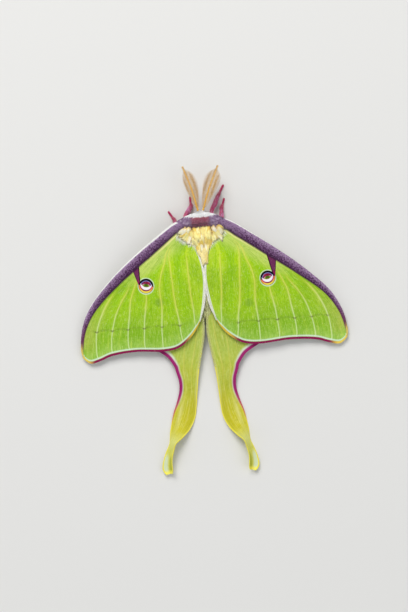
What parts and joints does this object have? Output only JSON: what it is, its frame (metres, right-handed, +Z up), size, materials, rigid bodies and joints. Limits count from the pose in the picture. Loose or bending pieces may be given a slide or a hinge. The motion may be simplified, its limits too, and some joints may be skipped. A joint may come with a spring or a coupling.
{
  "type": "luna moth",
  "caption": "Life-size luna moth at rest with its wings spread flat: feathered antennae, woolly body, veined forewings with eyespots and long twisted hindwing tails.",
  "frame": {"origin": "floor level under the centre of the spread moth's bounding box", "axes": "+Y from the tails towards the head and antennae, +X towards the moth's right wing as seen from above, +Z up from the floor through the back"},
  "size_m": [0.083, 0.0962, 0.0101],
  "materials": {
    "wing_green": "matt scales",
    "tail_yellow": "matt scales",
    "body_white": "woolly",
    "thorax_cream": "woolly",
    "collar_purple": "velvety",
    "leg_pink": "furry",
    "antenna_tan": "matt",
    "eye_dark": "glossy"
  },
  "bodies": {
    "root": {"thorax": "thorax_cream", "abdomen": "body_white", "head": "body_white", "collar": "collar_purple", "eye_left": "eye_dark", "palp_left": "body_white", "antenna_left": "antenna_tan", "forewing_left": "wing_green", "hindwing_left": "wing_green", "tail_left": "tail_yellow", "leg_front_left": "leg_pink", "leg_mid_left": "leg_pink", "leg_hind_left": "leg_pink", "eye_right": "eye_dark", "palp_right": "body_white", "antenna_right": "antenna_tan", "forewing_right": "wing_green", "hindwing_right": "wing_green", "tail_right": "tail_yellow", "leg_front_right": "leg_pink", "leg_mid_right": "leg_pink", "leg_hind_right": "leg_pink"}
  },
  "joints": []
}
